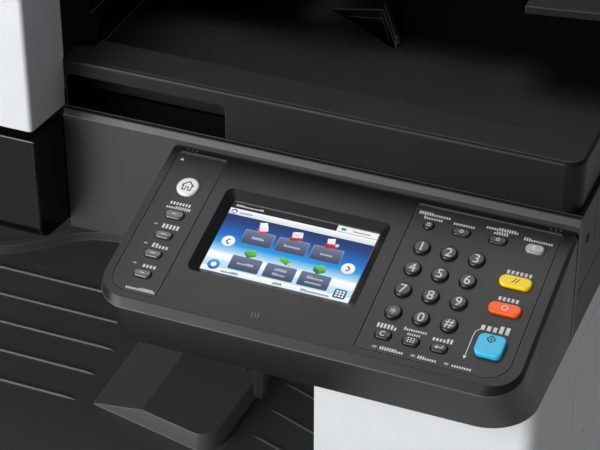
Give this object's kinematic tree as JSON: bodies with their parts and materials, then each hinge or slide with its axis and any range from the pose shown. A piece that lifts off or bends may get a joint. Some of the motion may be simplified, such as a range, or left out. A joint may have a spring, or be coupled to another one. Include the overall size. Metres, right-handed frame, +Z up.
{
  "type": "photocopier",
  "caption": "Compact floor or desk photocopier with paper cassette, in-body output tray, flatbed scanner, document feeder and tilted panel with touch display and sprung keys.",
  "frame": {"origin": "centre of the footprint, on the floor under the feet", "axes": "+X to the operator's right, +Y to the back, +Z up"},
  "size_m": [0.59, 0.5899, 0.748],
  "materials": {
    "white_cover": "fine grain",
    "light_grey_cover": "fine grain",
    "black_cover": "satin grain",
    "gloss_black": "gloss",
    "panel_black": "satin",
    "mask_grey": "satin",
    "tray_black": "grained",
    "glass": "polished",
    "screen": "gloss",
    "frame_steel": "galvanised",
    "white_pad": "matt",
    "rubber": "matt",
    "hinge_steel": "brushed",
    "key_dark": "satin gloss",
    "key_silver": "metallic satin",
    "key_white": "satin gloss",
    "key_clear": "translucent",
    "key_yellow": "satin gloss",
    "key_orange": "satin gloss",
    "key_cyan": "satin gloss",
    "toner_plastic": "matt"
  },
  "bodies": {
    "machine": {"base_frame": "frame_steel", "feet": "rubber", "left_cover": "light_grey_cover", "right_cover": "light_grey_cover", "column_cover": "white_cover", "output_tray": "tray_black", "toner_container": "toner_plastic", "power_inlet": "black_cover", "scanner_housing": "black_cover", "platen_glass": "glass", "scanner_front_cover": "black_cover", "scanner_left_cover": "gloss_black", "cover_hinges": "hinge_steel", "panel_housing": "panel_black", "panel_bezel": "panel_black", "touch_display": "screen", "key_masks": "mask_grey"},
    "cassette": {"paper_cassette": "white_cover"},
    "front_door": {"front_cover": "white_cover"},
    "side_door": {"side_door": "light_grey_cover"},
    "bypass_tray": {"bypass_tray": "light_grey_cover"},
    "full_lever": {"paper_full_lever": "black_cover"},
    "switch": {"power_switch": "black_cover"},
    "carriage": {"scan_carriage": "black_cover"},
    "lid": {"platen_cover": "black_cover", "platen_pad": "white_pad", "feeder_front_cap": "white_cover", "adf_housing": "black_cover", "input_tray": "black_cover"},
    "stopper": {"document_stopper": "black_cover"},
    "feeder_cover": {"adf_top_cover": "black_cover"},
    "front_guide": {"front_width_guide": "black_cover"},
    "rear_guide": {"rear_width_guide": "black_cover"},
    "system_menu_key": {"system_menu_key": "key_dark"},
    "interrupt_key": {"interrupt_key": "key_dark"},
    "logout_key": {"logout_key": "key_dark"},
    "energy_saver_key": {"energy_saver_key": "key_clear"},
    "reset_key": {"reset_key": "key_yellow"},
    "stop_key": {"stop_key": "key_orange"},
    "start_key": {"start_key": "key_cyan"},
    "clear_key": {"clear_key": "key_dark"},
    "quick_number_key": {"quick_number_key": "key_dark"},
    "enter_key": {"enter_key": "key_dark"},
    "home_key": {"home_key": "key_white"},
    "status_key": {"status_key": "key_silver"},
    "copy_key": {"copy_key": "key_silver"},
    "send_key": {"send_key": "key_silver"},
    "fax_key": {"fax_key": "key_silver"},
    "key_1": {"key_1": "key_dark"},
    "key_2": {"key_2": "key_dark"},
    "key_3": {"key_3": "key_dark"},
    "key_4": {"key_4": "key_dark"},
    "key_5": {"key_5": "key_dark"},
    "key_6": {"key_6": "key_dark"},
    "key_7": {"key_7": "key_dark"},
    "key_8": {"key_8": "key_dark"},
    "key_9": {"key_9": "key_dark"},
    "key_star": {"key_star": "key_dark"},
    "key_0": {"key_0": "key_dark"},
    "key_hash": {"key_hash": "key_dark"}
  },
  "joints": [
    {"name": "cassette_slide", "type": "slide", "parent": "machine", "child": "cassette", "axis": [0, -1, 0], "range_m": [0, 0.36]},
    {"name": "front_cover_hinge", "type": "hinge", "parent": "machine", "child": "front_door", "pos_m": [0, -0.2835, 0.187], "axis": [1, 0, 0], "range_deg": [0, 90]},
    {"name": "side_door_hinge", "type": "hinge", "parent": "machine", "child": "side_door", "pos_m": [0.2925, 0.2135, 0.35], "axis": [0, 0, 1], "range_deg": [0, 75]},
    {"name": "bypass_tray_hinge", "type": "hinge", "parent": "side_door", "child": "bypass_tray", "pos_m": [0.2923, 0.03, 0.2332], "axis": [0, 1, 0], "range_deg": [0, 75]},
    {"name": "full_lever_hinge", "type": "hinge", "parent": "machine", "child": "full_lever", "pos_m": [0.148, -0.216, 0.512], "axis": [0, 1, 0], "range_deg": [0, 30]},
    {"name": "power_switch_rock", "type": "hinge", "parent": "machine", "child": "switch", "pos_m": [0.289, -0.19, 0.3], "axis": [0, 1, 0], "range_deg": [0, 12]},
    {"name": "carriage_slide", "type": "slide", "parent": "machine", "child": "carriage", "axis": [1, 0, 0], "range_m": [0, 0.44]},
    {"name": "platen_cover_hinge", "type": "hinge", "parent": "machine", "child": "lid", "pos_m": [0, 0.284, 0.628], "axis": [-1, 0, 0], "range_deg": [0, 75]},
    {"name": "stopper_hinge", "type": "hinge", "parent": "lid", "child": "stopper", "pos_m": [0.14007, -0.06513, 0.6494], "axis": [-0.4848, 0.8746, 0], "range_deg": [-60, 0]},
    {"name": "feeder_cover_hinge", "type": "hinge", "parent": "lid", "child": "feeder_cover", "pos_m": [-0.2942, 0.05, 0.6894], "axis": [0, -1, 0], "range_deg": [0, 60]},
    {"name": "front_guide_slide", "type": "slide", "parent": "lid", "child": "front_guide", "axis": [0, 1, 0], "range_m": [0, 0.08]},
    {"name": "rear_guide_slide", "type": "slide", "parent": "lid", "child": "rear_guide", "axis": [0, -1, 0], "range_m": [0, 0.08]},
    {"name": "system_menu_key_press", "type": "slide", "parent": "machine", "child": "system_menu_key", "axis": [0, 0.2756, -0.9613], "range_m": [0, 0.0012], "stiffness_N_per_m": 300, "springref_m": -0.0004},
    {"name": "interrupt_key_press", "type": "slide", "parent": "machine", "child": "interrupt_key", "axis": [0, 0.2756, -0.9613], "range_m": [0, 0.0012], "stiffness_N_per_m": 300, "springref_m": -0.0004},
    {"name": "logout_key_press", "type": "slide", "parent": "machine", "child": "logout_key", "axis": [0, 0.2756, -0.9613], "range_m": [0, 0.0012], "stiffness_N_per_m": 300, "springref_m": -0.0004},
    {"name": "energy_saver_key_press", "type": "slide", "parent": "machine", "child": "energy_saver_key", "axis": [0, 0.2756, -0.9613], "range_m": [0, 0.0012], "stiffness_N_per_m": 300, "springref_m": -0.0004},
    {"name": "reset_key_press", "type": "slide", "parent": "machine", "child": "reset_key", "axis": [0, 0.2756, -0.9613], "range_m": [0, 0.0012], "stiffness_N_per_m": 300, "springref_m": -0.0004},
    {"name": "stop_key_press", "type": "slide", "parent": "machine", "child": "stop_key", "axis": [0, 0.2756, -0.9613], "range_m": [0, 0.0012], "stiffness_N_per_m": 300, "springref_m": -0.0004},
    {"name": "start_key_press", "type": "slide", "parent": "machine", "child": "start_key", "axis": [0, 0.2756, -0.9613], "range_m": [0, 0.0018], "stiffness_N_per_m": 300, "springref_m": -0.0004},
    {"name": "clear_key_press", "type": "slide", "parent": "machine", "child": "clear_key", "axis": [0, 0.2756, -0.9613], "range_m": [0, 0.0012], "stiffness_N_per_m": 300, "springref_m": -0.0004},
    {"name": "quick_number_key_press", "type": "slide", "parent": "machine", "child": "quick_number_key", "axis": [0, 0.2756, -0.9613], "range_m": [0, 0.0012], "stiffness_N_per_m": 300, "springref_m": -0.0004},
    {"name": "enter_key_press", "type": "slide", "parent": "machine", "child": "enter_key", "axis": [0, 0.2756, -0.9613], "range_m": [0, 0.0012], "stiffness_N_per_m": 300, "springref_m": -0.0004},
    {"name": "home_key_press", "type": "slide", "parent": "machine", "child": "home_key", "axis": [0, 0.2756, -0.9613], "range_m": [0, 0.0012], "stiffness_N_per_m": 300, "springref_m": -0.0004},
    {"name": "status_key_press", "type": "slide", "parent": "machine", "child": "status_key", "axis": [0, 0.2756, -0.9613], "range_m": [0, 0.0012], "stiffness_N_per_m": 300, "springref_m": -0.0004},
    {"name": "copy_key_press", "type": "slide", "parent": "machine", "child": "copy_key", "axis": [0, 0.2756, -0.9613], "range_m": [0, 0.0012], "stiffness_N_per_m": 300, "springref_m": -0.0004},
    {"name": "send_key_press", "type": "slide", "parent": "machine", "child": "send_key", "axis": [0, 0.2756, -0.9613], "range_m": [0, 0.0012], "stiffness_N_per_m": 300, "springref_m": -0.0004},
    {"name": "fax_key_press", "type": "slide", "parent": "machine", "child": "fax_key", "axis": [0, 0.2756, -0.9613], "range_m": [0, 0.0012], "stiffness_N_per_m": 300, "springref_m": -0.0004},
    {"name": "key_1_press", "type": "slide", "parent": "machine", "child": "key_1", "axis": [0, 0.2756, -0.9613], "range_m": [0, 0.0012], "stiffness_N_per_m": 300, "springref_m": -0.0004},
    {"name": "key_2_press", "type": "slide", "parent": "machine", "child": "key_2", "axis": [0, 0.2756, -0.9613], "range_m": [0, 0.0012], "stiffness_N_per_m": 300, "springref_m": -0.0004},
    {"name": "key_3_press", "type": "slide", "parent": "machine", "child": "key_3", "axis": [0, 0.2756, -0.9613], "range_m": [0, 0.0012], "stiffness_N_per_m": 300, "springref_m": -0.0004},
    {"name": "key_4_press", "type": "slide", "parent": "machine", "child": "key_4", "axis": [0, 0.2756, -0.9613], "range_m": [0, 0.0012], "stiffness_N_per_m": 300, "springref_m": -0.0004},
    {"name": "key_5_press", "type": "slide", "parent": "machine", "child": "key_5", "axis": [0, 0.2756, -0.9613], "range_m": [0, 0.0012], "stiffness_N_per_m": 300, "springref_m": -0.0004},
    {"name": "key_6_press", "type": "slide", "parent": "machine", "child": "key_6", "axis": [0, 0.2756, -0.9613], "range_m": [0, 0.0012], "stiffness_N_per_m": 300, "springref_m": -0.0004},
    {"name": "key_7_press", "type": "slide", "parent": "machine", "child": "key_7", "axis": [0, 0.2756, -0.9613], "range_m": [0, 0.0012], "stiffness_N_per_m": 300, "springref_m": -0.0004},
    {"name": "key_8_press", "type": "slide", "parent": "machine", "child": "key_8", "axis": [0, 0.2756, -0.9613], "range_m": [0, 0.0012], "stiffness_N_per_m": 300, "springref_m": -0.0004},
    {"name": "key_9_press", "type": "slide", "parent": "machine", "child": "key_9", "axis": [0, 0.2756, -0.9613], "range_m": [0, 0.0012], "stiffness_N_per_m": 300, "springref_m": -0.0004},
    {"name": "key_star_press", "type": "slide", "parent": "machine", "child": "key_star", "axis": [0, 0.2756, -0.9613], "range_m": [0, 0.0012], "stiffness_N_per_m": 300, "springref_m": -0.0004},
    {"name": "key_0_press", "type": "slide", "parent": "machine", "child": "key_0", "axis": [0, 0.2756, -0.9613], "range_m": [0, 0.0012], "stiffness_N_per_m": 300, "springref_m": -0.0004},
    {"name": "key_hash_press", "type": "slide", "parent": "machine", "child": "key_hash", "axis": [0, 0.2756, -0.9613], "range_m": [0, 0.0012], "stiffness_N_per_m": 300, "springref_m": -0.0004}
  ],
  "couplings": [
    {"joint": "rear_guide_slide", "follows": "front_guide_slide", "ratio": 1}
  ]
}
